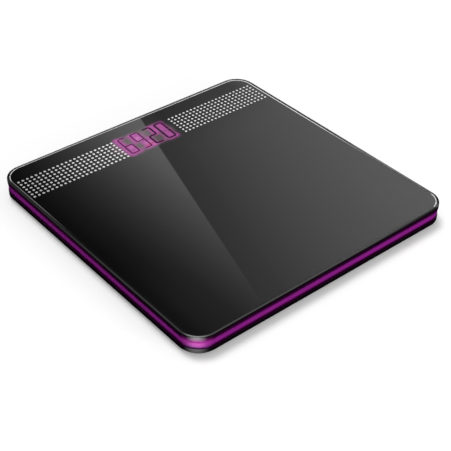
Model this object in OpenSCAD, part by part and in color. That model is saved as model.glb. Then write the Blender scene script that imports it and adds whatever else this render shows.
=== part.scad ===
// Glass-topped electronic bathroom scale.
// The frame's origin is the middle of the underside, on the floor. The display edge is at +Y.

/* [Platform] */
// Side of the square glass platform
plate_side = 300; // [280:1:340]
// Radius of the platform's corners
corner_r = 20.5; // [18:0.5:26]
// Thickness of the tempered glass
glass_t = 5; // [4:0.5:8]
// Width of the shallow bevel round the top of the glass
bevel_w = 1.7; // [1:0.1:3]

/* [Housing] */
// Height of the tray's underside above the floor
foot_lift = 3; // [2.5:0.5:4]
// Height of the black tray wall below the trim band
tray_wall_h = 4.8; // [4:0.2:6]
// Height of the coloured trim band
trim_h = 7.4; // [7.4:0.2:9]
// Height of the shadow gap under the glass
gap_h = 0.7; // [0.5:0.1:1.2]
// Thickness of the tray's floor
floor_t = 2; // [1.8:0.1:2.2]

/* [Feet] */
// Distance of each foot's axis from the middle, along X and Y
foot_xy = 112; // [105:1:116]
// Radius of the foot cup where it passes through the tray
foot_r = 18.6; // [16:0.2:19]
// Radius of the rubber pad
pad_r = 16.6; // [14:0.2:17]

/* [Battery bay] */
// Middle of the bay along Y
bay_y = 40; // [30:1:42]
// Diameter of one cell, size AAA
cell_d = 10.5; // [10.3:0.1:10.5]
// Length of one cell without its nub
cell_l = 43.7; // [43:0.1:44]

/* [Display] */
// Middle of the display along Y
display_y = 112; // [110:0.5:115]
// Height of a digit, between the middles of its end segments
digit_h = 28.4; // [20:0.2:30]
// Width of a digit, between the middles of its side segments
digit_w = 8.8; // [7:0.2:10]
// Distance from one digit to the next
digit_pitch = 15; // [13:0.5:16]
// Width of one lit segment
seg_w = 1.5; // [1:0.1:2.5]

/* [Hidden] */
$fn = 64;
eps = 0.01;

black = "#1b1b1d";
trim_purple = "#8a2a86";
steel = "#b9bcc0";

// Levels, from the floor up
z_tray = foot_lift;
z_floor = z_tray + floor_t;
z_trim = z_tray + tray_wall_h;
z_gap = z_trim + trim_h;
z_glass = z_gap + gap_h;
z_top = z_glass + glass_t;
print_t = 0.15;
frame_t = 2;
z_frame = z_gap - frame_t;

// Insets of the outer pieces from the platform's outline
tray_in = 0.15;
tray_edge = 0.6;
tray_wall_t = 2.2;
upstand_in = 3.4;
upstand_t = 1.6;
lip_t = 1.4;
lip_h = 2.6;
trim_in = 0.45;
trim_bulge = 0.75;
trim_t = 2.2;
frame_in = 2.9;

// Feet: one well in the tray for each, with the cell above it
CORNERS = [[-1, -1], [1, -1], [-1, 1], [1, 1]];
foot_gap = 0.35;
well_r = foot_r + foot_gap;
flange_r = foot_r + 1.9;
flange_t = 1.2;
z_flange = z_floor + 0.3;
pad_t = 1.6;
pivot_h = 2.4;
cell_side = 34;
cell_t = 1.8;
z_cell = z_flange + flange_t + pivot_h;
carrier_side = 40;

// Battery bay: four cells side by side along X, lying along Y
cell_count = 4;
cell_pitch = cell_d + 0.6;
bay_w = cell_count * cell_pitch + 1.2;
bay_l = cell_l + 9;
bay_wall = 1.4;
cover_t = 1.2;
cover_gap = 0.3;
cover_w = bay_w + 5;
cover_l = bay_l + 10.5;
hinge_y = bay_y - bay_l / 2 - 6;
collar_h = 1;
z_cell_axis = z_tray + cover_t + 0.4 + cell_d / 2;
tongue_x = 14;
tongue_w = 7;

// Display and board
board_w = 122;
board_d = 40;
board_t = 1.6;
z_board = z_tray + 6;
led_w = 64;
led_d = 36;
z_led = z_board + board_t;
z_led_top = z_glass - print_t - 0.15;
window_w = 62;
window_d = 34;
post_x = 55;
post_y = 15.5;
socket_x = 43;
socket_y = 6;
socket_h = 2.4;
led_pin_r = 0.3;
button_x = 46;
button_r = 4.6;
button_travel = 0.8;
SCREW_SPOTS = [[-130, -50], [130, -50], [-130, 50], [130, 50], [-50, -131], [50, -131], [-72, 131], [72, 131]];
PIN_SPOTS = [for (x = [-5:5], side = [-1, 1]) [5.08 * x, side * (led_d / 2 - 2)]];
screw_r = 1.4;
head_r = 2.9;

// Cable runs: from the front cells up the sides to the board, and straight in from the back cells
cable_r = 0.9;
cable_z = z_led + socket_h / 2;
run_x = foot_xy - 14;
turn_y = 76;
entry_x = 68;
lead_x = 20;

// A rounded rectangle, with true arcs at its corners
module rounded_rect(w, d, r) {
    square([w - 2 * r, d], center = true);
    square([w, d - 2 * r], center = true);
    for (x = [-1, 1], y = [-1, 1]) translate([x * (w / 2 - r), y * (d / 2 - r)]) circle(r);
}

// Sweeps a section round the platform's outline: x is the distance out from a corner's centre
module sweep_outline() {
    reach = plate_side / 2 - corner_r;
    for (i = [0:3]) rotate(90 * i) {
        translate([reach, reach, 0]) rotate_extrude(angle = 90) children();
        translate([reach, 0, 0]) rotate([90, 0, 0]) linear_extrude(2 * reach, center = true) children();
    }
}

// The square between the four corner centres, from one level to another
module core(z0, z1) {
    side = plate_side - 2 * corner_r;
    translate([-side / 2, -side / 2, z0]) cube([side, side, z1 - z0]);
}

module slab(inset, z0, z1) {
    translate([0, 0, z0]) linear_extrude(z1 - z0)
        rounded_rect(plate_side - 2 * inset, plate_side - 2 * inset, corner_r - inset);
}

module at_corner(i) {
    translate([CORNERS[i][0] * foot_xy, CORNERS[i][1] * foot_xy, 0]) children();
}

module at_corners() {
    for (i = [0:3]) at_corner(i) children();
}

// ---- Platform ----

module glass_platform() {
    arris = 0.35;
    fall = 0.12;
    color("#101012") {
        core(z_glass, z_top);
        sweep_outline() polygon([
            [0, z_glass], [corner_r - arris, z_glass], [corner_r, z_glass + arris],
            [corner_r, z_top - fall - arris], [corner_r - arris, z_top - fall],
            [corner_r - bevel_w, z_top], [0, z_top]
        ]);
    }
}

module print_layer() {
    color("black") difference() {
        slab(1.2, z_glass - print_t, z_glass);
        translate([0, display_y, z_glass - 1]) linear_extrude(2) rounded_rect(window_w, window_d, 3);
    }
}

module display_film() {
    color("#3a0f38") translate([0, display_y, z_glass - print_t]) linear_extrude(print_t)
        rounded_rect(window_w, window_d, 3);
}

module glass_tape() {
    tape_w = 9;
    color("#151515") sweep_outline() translate([corner_r - frame_in - tape_w, z_gap])
        square([tape_w - 0.3, gap_h - print_t]);
}

// ---- Housing ----

module bay_box(grow, z0, z1) {
    translate([-bay_w / 2 - grow, bay_y - bay_l / 2 - grow, z0])
        cube([bay_w + 2 * grow, bay_l + 2 * grow, z1 - z0]);
}

module upper_frame() {
    color(black) difference() {
        union() {
            slab(frame_in, z_frame, z_gap);
            sweep_outline() translate([corner_r - upstand_in - upstand_t - 0.2 - lip_t, z_frame - lip_h])
                square([lip_t, lip_h + eps]);
            for (p = SCREW_SPOTS) translate([p[0], p[1], z_frame - 3.2]) cylinder(r = 4, h = 3.2 + eps);
        }
        bay_box(bay_wall + 0.25, z_frame - 1, z_gap + 1);
        translate([0, display_y, z_frame - 1]) linear_extrude(frame_t + 2)
            rounded_rect(led_w + 0.8, led_d + 0.8, 1);
        for (p = SCREW_SPOTS) translate([p[0], p[1], z_frame - 4]) cylinder(r = screw_r + 0.05, h = 5);
    }
}

module trim_section() {
    outer = corner_r - trim_in;
    half = trim_h / 2;
    bow = (half * half + trim_bulge * trim_bulge) / (2 * trim_bulge);
    intersection() {
        translate([outer - trim_t, z_trim]) square([trim_t + 1, trim_h]);
        translate([outer - bow, z_trim + half]) circle(bow, $fn = 180);
    }
}

module trim_band() {
    color(trim_purple) sweep_outline() trim_section();
}

module tray_section() {
    outer = corner_r - tray_in;
    translate([0, z_tray]) square([outer - tray_edge, floor_t]);
    translate([0, z_tray + tray_edge]) square([outer, floor_t - tray_edge]);
    translate([outer - tray_edge, z_tray + tray_edge]) circle(tray_edge);
    translate([outer - tray_wall_t, z_floor - eps]) square([tray_wall_t, tray_wall_h - floor_t + eps]);
    translate([corner_r - upstand_in - upstand_t, z_floor - eps])
        square([upstand_t, z_frame - z_floor + eps]);
}

module tray_ribs() {
    rib_t = 1.4;
    reach = plate_side / 2 - upstand_in - upstand_t - 0.2 - lip_t - 0.3;
    rib_h = z_frame - z_floor;
    for (x = [-84, -56, -32, 32, 56, 84])
        translate([x - rib_t / 2, -reach, z_floor - eps]) cube([rib_t, 2 * reach, rib_h + eps]);
    for (y = [-84, -56, -28, 0, 84])
        translate([-reach, y - rib_t / 2, z_floor - eps]) cube([2 * reach, rib_t, rib_h + eps]);
}

// Rooms that the ribs leave free: the wells with their cells, the bay, the board and the cable runs
module rib_rooms() {
    room_h = z_frame - z_floor + 1;
    translate([0, 0, z_floor]) {
        at_corners() cylinder(r = flange_r + 4.5, h = room_h);
        at_corners() translate([-22, -22, 0]) cube([44, 44, room_h]);
        translate([-board_w / 2 - 3, display_y - board_d / 2 - 3, 0]) cube([board_w + 6, board_d + 6, room_h]);
        for (side = [-1, 1]) {
            cable_room([side * run_x, 3 - foot_xy + carrier_side / 2], [side * run_x, turn_y]);
            cable_room([side * run_x, turn_y], [side * entry_x, turn_y]);
            cable_room([side * entry_x, turn_y], [side * entry_x, display_y]);
            cable_room([side * entry_x, display_y + socket_y], [side * (foot_xy - 15), display_y + socket_y]);
            cable_room([side * lead_x, bay_y], [side * lead_x, display_y]);
        }
    }
    bay_box(bay_wall + 4, z_floor, z_frame + 1);
}

// A cutter 6 wide along a straight cable run
module cable_room(from, to) {
    low = [min(from[0], to[0]), min(from[1], to[1])];
    high = [max(from[0], to[0]), max(from[1], to[1])];
    translate([low[0] - 3, low[1] - 3, 2.6]) cube([high[0] - low[0] + 6, high[1] - low[1] + 6, 12]);
}

module screw_boss_tray() {
    translate([0, 0, z_floor - eps]) cylinder(r = 4.6, h = z_frame - 3.2 - z_floor + eps);
}

module base_tray() {
    slot_w = tongue_w + 1;
    color(black) difference() {
        union() {
            core(z_tray, z_floor);
            sweep_outline() tray_section();
            difference() {
                tray_ribs();
                rib_rooms();
            }
            at_corners() translate([0, 0, z_floor - eps]) difference() {
                cylinder(r = flange_r + 2, h = 2.4);
                translate([0, 0, -1]) cylinder(r = flange_r + 0.4, h = 5);
            }
            for (p = SCREW_SPOTS) translate([p[0], p[1], 0]) screw_boss_tray();
            for (x = [-post_x, post_x], y = [-post_y, post_y])
                translate([x, display_y + y, z_floor - eps]) cylinder(r = 3, h = z_board - z_floor + eps);
            bay_box(bay_wall, z_floor - eps, z_gap);
            bay_box(bay_wall + 3.4, z_floor - eps, z_floor + collar_h);
        }
        bay_box(0, z_tray - 1, z_gap + 1);
        translate([0, hinge_y + cover_l / 2, z_tray - 1]) linear_extrude(cover_t + cover_gap + 1)
            rounded_rect(cover_w + 2 * cover_gap, cover_l + 2 * cover_gap, 1.5);
        for (x = [-1, 1]) translate([x * tongue_x - slot_w / 2, hinge_y - 0.3, z_tray + 1])
            cube([slot_w, 4.6, 8]);
        translate([-7, hinge_y + cover_l - 2.6, z_tray + 1]) cube([14, 2.9, 5]);
        at_corners() translate([0, 0, z_tray - 1]) cylinder(r = well_r, h = floor_t + 2);
        for (p = SCREW_SPOTS) translate([p[0], p[1], z_tray - 1]) {
            cylinder(r = head_r + 0.4, h = 3.2);
            cylinder(r = screw_r + 0.3, h = 12);
        }
        for (x = [-post_x, post_x], y = [-post_y, post_y])
            translate([x, display_y + y, z_floor - 0.6]) cylinder(r = 1.05, h = 5);
        translate([button_x, display_y, z_tray - 1]) cylinder(r = button_r + 0.35, h = floor_t + 2);
        translate([button_x, display_y, z_tray - 1]) cylinder(r = button_r + 2.2, h = 1.6);
    }
}

module case_screw() {
    head_h = 1.7;
    z_head = z_tray + 2.2 - head_h;
    difference() {
        union() {
            translate([0, 0, z_head]) cylinder(r = head_r, h = head_h);
            translate([0, 0, z_head + head_h - eps]) cylinder(r = screw_r, h = 7.6);
        }
        for (a = [0, 90]) rotate(a) translate([-1.7, -0.35, z_head - 1]) cube([3.4, 0.7, 1.9]);
    }
}

module case_screws() {
    color(steel) for (p = SCREW_SPOTS) translate([p[0], p[1], 0]) case_screw();
}

// Foam blocks that carry the middle of the glass on the frame
module frame_pads() {
    color("#202020") for (x = [-80, -40, 0, 40, 80], y = [-100, -50, 0])
        translate([x - 8, y - 8, z_gap]) cube([16, 16, gap_h - print_t]);
}

// ---- Feet and load cells ----

module foot_cup(i) {
    rim_t = 1.4;
    color("#26262a") at_corner(i) {
        rotate_extrude() {
            // cup floor, outer wall, and the flange that the tray holds
            translate([0, pad_t]) square([foot_r, z_flange + flange_t - pad_t]);
            translate([pad_r + 0.2, 0.8]) square([foot_r - pad_r - 0.2, pad_t]);
            translate([0, z_flange]) square([flange_r, flange_t]);
            // pivot that presses on the load cell
            translate([0, z_flange + flange_t - eps]) square([4, 1]);
            translate([0, z_flange + flange_t]) square([2.5, pivot_h]);
        }
        for (a = [0:45:315]) rotate(a) translate([6, -rim_t / 2, z_flange + flange_t - eps])
            cube([11, rim_t, 0.5]);
    }
}

module foot_pad(i) {
    color("#0c0c0d") at_corner(i) rotate_extrude() difference() {
        square([pad_r, pad_t]);
        for (r = [5, 10]) translate([r, -eps]) square([1.6, 0.5]);
        translate([pad_r - 0.5, -eps]) square([1, 0.4]);
    }
}

// Steel load cell: an outer frame, and a tongue cut free by one slot round three sides
module load_cell(i) {
    slot = 2.2;
    tongue = 9;
    run = cell_side - 12;
    color(steel) at_corner(i) difference() {
        translate([0, 0, z_cell]) linear_extrude(cell_t) rounded_rect(cell_side, cell_side, 3);
        translate([0, 0, z_cell - 1]) linear_extrude(cell_t + 2) {
            for (x = [-1, 1]) translate([x * (tongue + slot) / 2 - slot / 2, -run / 2]) square([slot, run]);
            translate([-tongue / 2, -run / 2]) square([tongue, slot]);
        }
        for (x = [-1, 1], y = [-1, 1]) translate([x * 13, y * 13, z_cell - 1]) cylinder(r = 1.6, h = cell_t + 2);
    }
}

module cell_carrier(i) {
    peg_h = 1.2;
    color("#2c2c30") at_corner(i) {
        difference() {
            translate([0, 0, z_cell - 1.2]) linear_extrude(z_frame - z_cell + 1.2)
                rounded_rect(carrier_side, carrier_side, 4);
            translate([0, 0, z_cell]) linear_extrude(cell_t) rounded_rect(cell_side + 0.6, cell_side + 0.6, 3);
            translate([0, 0, z_cell - 2]) linear_extrude(3) rounded_rect(cell_side - 3, cell_side + 0.6, 1);
            translate([0, 0, z_cell + cell_t - 1]) linear_extrude(z_frame - z_cell - cell_t + 0.2)
                rounded_rect(22, 24, 2);
        }
        for (x = [-1, 1], y = [-1, 1])
            translate([x * 13, y * 13, z_cell + cell_t - peg_h]) cylinder(r = 1.4, h = peg_h + 0.2);
    }
}

module strain_gauges() {
    color("#e8e6de") at_corners() translate([-3.5, -2, z_cell + cell_t]) cube([7, 6, 0.7]);
}

// ---- Power ----

function cell_x(i) = (i - (cell_count - 1) / 2) * cell_pitch;
function nub_side(i) = i % 2 == 0 ? 1 : -1;

module battery(i) {
    nub_r = 2.2;
    nub_h = 0.8;
    color("#c9a227") translate([cell_x(i), bay_y, z_cell_axis]) rotate([-90 * nub_side(i), 0, 0])
        rotate_extrude() {
            translate([0, -cell_l / 2]) square([cell_d / 2 - 0.4, cell_l]);
            translate([0, -cell_l / 2 + 0.4]) square([cell_d / 2, cell_l - 0.8]);
            translate([0, cell_l / 2 - eps]) square([nub_r, nub_h + eps]);
        }
}

// Points of a ring of the spring's wire, at turn t of n
function spring_ring(t, n, r0, r1, h, wire, sides) =
    let (a = 360 * t, k = t / n, r = r0 + (r1 - r0) * k, z = h * k)
    [for (j = [0:sides - 1]) let (b = 360 * j / sides)
        [(r + wire * cos(b)) * cos(a), (r + wire * cos(b)) * sin(a), z + wire * sin(b)]];

module conical_spring(n, r0, r1, h, wire) {
    steps = 14 * n;
    sides = 6;
    rings = [for (s = [0:steps]) each spring_ring(s / 14, n, r0, r1, h, wire, sides)];
    walls = [for (s = [0:steps - 1], j = [0:sides - 1])
        let (k = (j + 1) % sides)
        [s * sides + k, (s + 1) * sides + k, (s + 1) * sides + j, s * sides + j]];
    foot = [for (j = [sides - 1:-1:0]) j];
    tip = [for (j = [0:sides - 1]) steps * sides + j];
    polyhedron(points = rings, faces = concat(walls, [foot, tip]), convexity = 8);
}

module battery_springs() {
    wire = 0.35;
    plate_t = 0.4;
    room = (bay_l - cell_l) / 2 - plate_t - 2 * wire;
    color(steel) for (i = [0:cell_count - 1])
        translate([cell_x(i), bay_y - nub_side(i) * (bay_l / 2 - plate_t - wire), z_cell_axis])
            rotate([-90 * nub_side(i), 0, 0]) conical_spring(4, 3.8, 2.2, room, wire);
}

module contact_plates() {
    plate_t = 0.4;
    high = 8.4;
    wide = 8;
    color(steel) for (i = [0:cell_count - 1], side = [-1, 1])
        translate([cell_x(i) - wide / 2, bay_y + side * (bay_l / 2 - plate_t / 2) - plate_t / 2, z_cell_axis - high / 2])
            cube([wide, plate_t, high]);
    color(steel) for (side = [-1, 1], i = side > 0 ? [0, 2] : [1])
        translate([cell_x(i), bay_y + side * (bay_l / 2 - plate_t / 2) - plate_t / 2, z_cell_axis + 1])
            cube([cell_pitch, plate_t, 3]);
}

module battery_cover() {
    rib_h = 0.3;
    color(black) difference() {
        union() {
            translate([0, hinge_y + cover_l / 2, z_tray]) linear_extrude(cover_t) rounded_rect(cover_w, cover_l, 1.2);
            // tongues that hook over the tray's floor
            for (x = [-1, 1]) translate([x * tongue_x - tongue_w / 2, 0, 0]) {
                translate([0, hinge_y, z_tray + cover_t - eps]) cube([tongue_w, 1.2, floor_t - cover_t + 1.3]);
                translate([0, hinge_y - 2.2, z_floor + 0.3]) cube([tongue_w, 3.4, 1]);
            }
            // snap finger at the other end
            translate([-5, hinge_y + cover_l - 2.2, z_tray + cover_t - eps]) cube([10, 1, 2.6]);
        }
        // thumb recess and the slots beside the finger
        translate([0, hinge_y + cover_l - 6, z_tray - 1]) linear_extrude(1.5) rounded_rect(16, 5, 2.4);
        for (x = [-1, 1]) translate([x * 7.5 - 0.5, hinge_y + cover_l - 9, z_tray - 1]) cube([1, 10, 4]);
    }
}

// ---- Display and board ----

module main_board() {
    color("#1f5b34") difference() {
        translate([0, display_y, z_board]) linear_extrude(board_t) rounded_rect(board_w, board_d, 1.5);
        for (x = [-post_x, post_x], y = [-post_y, post_y])
            translate([x, display_y + y, z_board - 1]) cylinder(r = 1.3, h = 4);
        for (spot = PIN_SPOTS) translate([spot[0], display_y + spot[1], z_board - 1])
            cylinder(r = led_pin_r + 0.1, h = 4);
    }
}

module board_screws() {
    color(steel) for (x = [-post_x, post_x], y = [-post_y, post_y]) translate([x, display_y + y, 0]) {
        translate([0, 0, z_board + board_t]) cylinder(r = 2.2, h = 1.2);
        translate([0, 0, z_board - 3]) cylinder(r = 1, h = 3 + board_t + eps);
    }
}

module seg_bar(len) {
    half = seg_w / 2;
    polygon([[0, 0], [half, half], [len - half, half], [len, 0], [len - half, -half], [half, -half]]);
}

// One digit's segments by letter: a top, b and c right, d bottom, e and f left, g middle
module digit(lit) {
    w = digit_w;
    h = digit_h / 2;
    slack = 0.2;
    for (s = lit) {
        if (s == "a") translate([-w / 2 + slack, h]) seg_bar(w - 2 * slack);
        if (s == "g") translate([-w / 2 + slack, 0]) seg_bar(w - 2 * slack);
        if (s == "d") translate([-w / 2 + slack, -h]) seg_bar(w - 2 * slack);
        if (s == "f") translate([-w / 2, slack]) rotate(90) seg_bar(h - 2 * slack);
        if (s == "b") translate([w / 2, slack]) rotate(90) seg_bar(h - 2 * slack);
        if (s == "e") translate([-w / 2, slack - h]) rotate(90) seg_bar(h - 2 * slack);
        if (s == "c") translate([w / 2, slack - h]) rotate(90) seg_bar(h - 2 * slack);
    }
}

READING = ["acdefg", "abcdfg", "abdeg", "abcdef"];
point_after = 1;
first_digit_x = -25.5;

module reading(grow = 0) {
    for (i = [0:3]) translate([first_digit_x + i * digit_pitch, display_y]) digit(READING[i]);
    translate([first_digit_x + (point_after + 0.5) * digit_pitch, display_y - digit_h / 2]) circle(1 + grow);
}

module led_housing() {
    color("#0a0a0c") difference() {
        translate([0, display_y, z_led]) linear_extrude(z_led_top - z_led) rounded_rect(led_w, led_d, 0.8);
        translate([0, 0, z_led_top - 1]) linear_extrude(2) reading();
    }
}

module lit_segments() {
    color("#d61fc0") translate([0, 0, z_led_top - 1]) linear_extrude(1) reading();
}

module led_pins() {
    color(steel) for (spot = PIN_SPOTS) translate([spot[0], display_y + spot[1], z_board - 1])
        cylinder(r = led_pin_r, h = board_t + 1);
}

module controller() {
    color("#111111") {
        translate([-12, display_y, z_board - 1.6]) linear_extrude(1.6) rounded_rect(16, 16, 2);
        translate([14, display_y - 3, z_board - 1.4]) linear_extrude(1.4) rounded_rect(8, 6, 0.3);
    }
}

module board_parts() {
    color("#c8b48a") for (i = [0:7]) translate([-48 + 4 * i, display_y + 11, z_board - 0.6]) cube([2, 1.2, 0.6]);
    color("#c8b48a") for (i = [0:5]) translate([22 + 4 * i, display_y - 12, z_board - 0.6]) cube([2, 1.2, 0.6]);
}

module cable_sockets() {
    color("#efe9d8") for (x = [-1, 1], y = [-1, 1])
        translate([x * socket_x, display_y + y * socket_y, z_led]) difference() {
            translate([-4.5, -2.5, 0]) cube([9, 5, socket_h]);
            translate([-3.5, -1.5, 0.8]) cube([7, 3, socket_h]);
        }
}

module unit_button() {
    color("#2e2e33") translate([button_x, display_y, 0]) rotate_extrude() difference() {
        union() {
            translate([0, z_tray + 0.3]) square([button_r, z_floor + 0.3 - z_tray]);
            translate([0, z_floor + 0.3]) square([button_r + 1.6, 0.7]);
        }
        translate([-eps, z_tray + 0.3 - eps]) square([2.6, 0.35]);
    }
}

module unit_switch() {
    z_plunger = z_floor + 1 + button_travel + 0.3;
    color("#3a3a3a") translate([button_x, display_y, 0]) {
        translate([-3, -3, z_board - 1.4]) cube([6, 6, 1.4]);
        translate([0, 0, z_plunger]) cylinder(r = 1.7, h = z_board - z_plunger);
    }
}

// ---- Cables, each a round wire with ball corners ----

module wire_run(path, r) {
    for (k = [0:len(path) - 2]) {
        a = path[k];
        b = path[k + 1];
        d = b - a;
        run = norm(d);
        translate(a) rotate([0, acos(d[2] / run), atan2(d[1], d[0])]) cylinder(r = r, h = run);
        if (k < len(path) - 2) translate(b) sphere(r);
    }
}

module cell_cables() {
    socket_end = socket_x + 4.6;
    cell_edge = foot_xy - carrier_side / 2 - 0.5;
    z = cable_z;
    color("#d8d8d8") for (side = [-1, 1]) {
        wire_run([
            [side * run_x, -cell_edge, z], [side * run_x, turn_y, z], [side * entry_x, turn_y, z],
            [side * entry_x, display_y - socket_y, z], [side * socket_end, display_y - socket_y, z]
        ], cable_r);
        wire_run([[side * cell_edge, display_y + socket_y, z], [side * socket_end, display_y + socket_y, z]], cable_r);
    }
}

module battery_leads() {
    z = z_floor + 4;
    color("#b02020") for (side = [-1, 1])
        wire_run([
            [side * lead_x, bay_y + bay_l / 2 + bay_wall + 0.8, z],
            [side * lead_x, display_y - board_d / 2 - 0.8, z]
        ], 0.7);
}

glass_platform();
print_layer();
display_film();
glass_tape();
upper_frame();
trim_band();
base_tray();
case_screws();
frame_pads();
foot_cup(0);  // foot_cup_fl
foot_cup(1);  // foot_cup_fr
foot_cup(2);  // foot_cup_bl
foot_cup(3);  // foot_cup_br
foot_pad(0);  // foot_pad_fl
foot_pad(1);  // foot_pad_fr
foot_pad(2);  // foot_pad_bl
foot_pad(3);  // foot_pad_br
load_cell(0);  // load_cell_fl
load_cell(1);  // load_cell_fr
load_cell(2);  // load_cell_bl
load_cell(3);  // load_cell_br
cell_carrier(0);  // cell_carrier_fl
cell_carrier(1);  // cell_carrier_fr
cell_carrier(2);  // cell_carrier_bl
cell_carrier(3);  // cell_carrier_br
strain_gauges();
cell_cables();
battery_cover();
battery(0);  // battery_1
battery(1);  // battery_2
battery(2);  // battery_3
battery(3);  // battery_4
battery_springs();
contact_plates();
battery_leads();
main_board();
board_screws();
led_housing();
lit_segments();
led_pins();
controller();
board_parts();
cable_sockets();
unit_button();
unit_switch();
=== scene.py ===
import math

import bmesh
import bpy
from mathutils import Matrix, Vector


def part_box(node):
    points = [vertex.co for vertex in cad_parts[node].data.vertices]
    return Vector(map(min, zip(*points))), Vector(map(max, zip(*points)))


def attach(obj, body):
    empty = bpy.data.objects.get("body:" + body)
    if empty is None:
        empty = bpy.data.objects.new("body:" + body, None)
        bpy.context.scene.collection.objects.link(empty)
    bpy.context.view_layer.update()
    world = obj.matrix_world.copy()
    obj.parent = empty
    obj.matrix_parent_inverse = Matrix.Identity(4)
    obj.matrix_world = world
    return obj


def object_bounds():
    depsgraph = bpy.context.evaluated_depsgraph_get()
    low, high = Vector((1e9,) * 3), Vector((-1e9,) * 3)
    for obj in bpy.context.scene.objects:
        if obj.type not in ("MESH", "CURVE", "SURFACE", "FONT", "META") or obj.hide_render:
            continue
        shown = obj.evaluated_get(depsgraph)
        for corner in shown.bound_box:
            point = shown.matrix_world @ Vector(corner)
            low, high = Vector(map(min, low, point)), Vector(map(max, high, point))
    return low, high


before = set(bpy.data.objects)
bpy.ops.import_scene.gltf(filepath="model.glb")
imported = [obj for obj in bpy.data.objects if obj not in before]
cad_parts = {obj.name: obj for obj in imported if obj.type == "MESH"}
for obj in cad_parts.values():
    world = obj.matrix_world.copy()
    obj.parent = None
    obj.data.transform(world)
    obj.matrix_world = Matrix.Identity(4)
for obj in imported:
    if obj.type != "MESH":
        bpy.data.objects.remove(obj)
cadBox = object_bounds()
mm = 0.001
glassLow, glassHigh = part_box("glass_platform")
glassTop = glassHigh.z
halfSide = glassHigh.x

# level directions: out of the near corner, out of the far corner, and across from left to right corner
nearWay = (-0.695, -0.719, 0)
farWay = (0.64, 0.77, 0)
acrossWay = (0.77, -0.64, 0)


# small helpers for colours and material nodes

def rgb(red, green, blue):
    return (red, green, blue, 1.0)


def grey(tone):
    return rgb(tone, tone, tone)


def scaled(color, share):
    return rgb(*(share * channel for channel in color[:3]))


def startMaterial(name, values):
    mat = bpy.data.materials.new(name)
    mat.use_nodes = True
    shader = mat.node_tree.nodes["Principled BSDF"]
    for socket, value in values.items():
        shader.inputs[socket].default_value = value
    return mat, shader


def addNode(mat, kind, inputs, **settings):
    node = mat.node_tree.nodes.new("ShaderNode" + kind)
    for key, value in settings.items():
        setattr(node, key, value)
    for key, value in inputs.items():
        if isinstance(value, bpy.types.NodeSocket):
            mat.node_tree.links.new(value, node.inputs[key])
        else:
            node.inputs[key].default_value = value
    return node


def calc(mat, operation, first, second=0.0, clamp=False):
    node = addNode(mat, "Math", {0: first, 1: second}, operation=operation, use_clamp=clamp)
    return node.outputs[0]


def times(mat, result, *factors):
    for factor in factors:
        result = calc(mat, "MULTIPLY", result, factor)
    return result


def plus(mat, result, *terms):
    for term in terms:
        result = calc(mat, "ADD", result, term)
    return result


def minus(mat, first, second):
    return calc(mat, "SUBTRACT", first, second)


def distanceFrom(mat, value, middle):
    return calc(mat, "ABSOLUTE", minus(mat, value, middle))


def alongWay(mat, vector, way):
    return addNode(mat, "VectorMath", {0: vector, 1: way}, operation="DOT_PRODUCT").outputs["Value"]


def unitVector(mat, vector):
    return addNode(mat, "VectorMath", {0: vector}, operation="NORMALIZE").outputs[0]


def addVectors(mat, first, second):
    return addNode(mat, "VectorMath", {0: first, 1: second}, operation="ADD").outputs[0]


def ramp(mat, value, start, end, low=0.0, high=1.0):
    inputs = {"Value": value, "From Min": start, "From Max": end, "To Min": low, "To Max": high}
    return addNode(mat, "MapRange", inputs, interpolation_type="SMOOTHSTEP").outputs["Result"]


def insideOf(mat, value, low, high, soft):
    return times(mat, ramp(mat, value, low - soft, low + soft), ramp(mat, value, high + soft, high - soft))


def objectPlace(mat):
    return addNode(mat, "TexCoord", {}).outputs["Object"]


def axes(mat):
    return addNode(mat, "SeparateXYZ", {"Vector": objectPlace(mat)}).outputs


def grain(mat, scale, detail=3.0, stretch=(1, 1, 1)):
    place = addNode(mat, "Mapping", {"Vector": objectPlace(mat), "Scale": stretch}).outputs[0]
    return addNode(mat, "TexNoise", {"Vector": place, "Scale": scale, "Detail": detail}).outputs["Fac"]


# noise faded into patches; the pattern holds its scale, its detail and the two noise values that it fades between
def patches(mat, pattern, low=0.0, high=1.0, stretch=(1, 1, 1)):
    scale, detail, start, end = pattern
    return ramp(mat, grain(mat, scale, detail, stretch), start, end, low, high)


def blendColors(mat, share, first, second):
    return addNode(mat, "Mix", {0: share, 6: first, 7: second}, data_type="RGBA").outputs[2]


def shadeColor(mat, color, shade):
    return addNode(mat, "Mix", {0: 1.0, 6: color, 7: shade}, data_type="RGBA", blend_type="MULTIPLY").outputs[2]


def drive(mat, shader, socket, source):
    mat.node_tree.links.new(source, shader.inputs[socket])


def roughen(mat, shader, height, strength, depth):
    bump = addNode(mat, "Bump", {"Height": height, "Strength": strength, "Distance": depth})
    drive(mat, shader, "Normal", bump.outputs[0])


# finishes of the platform

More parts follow.
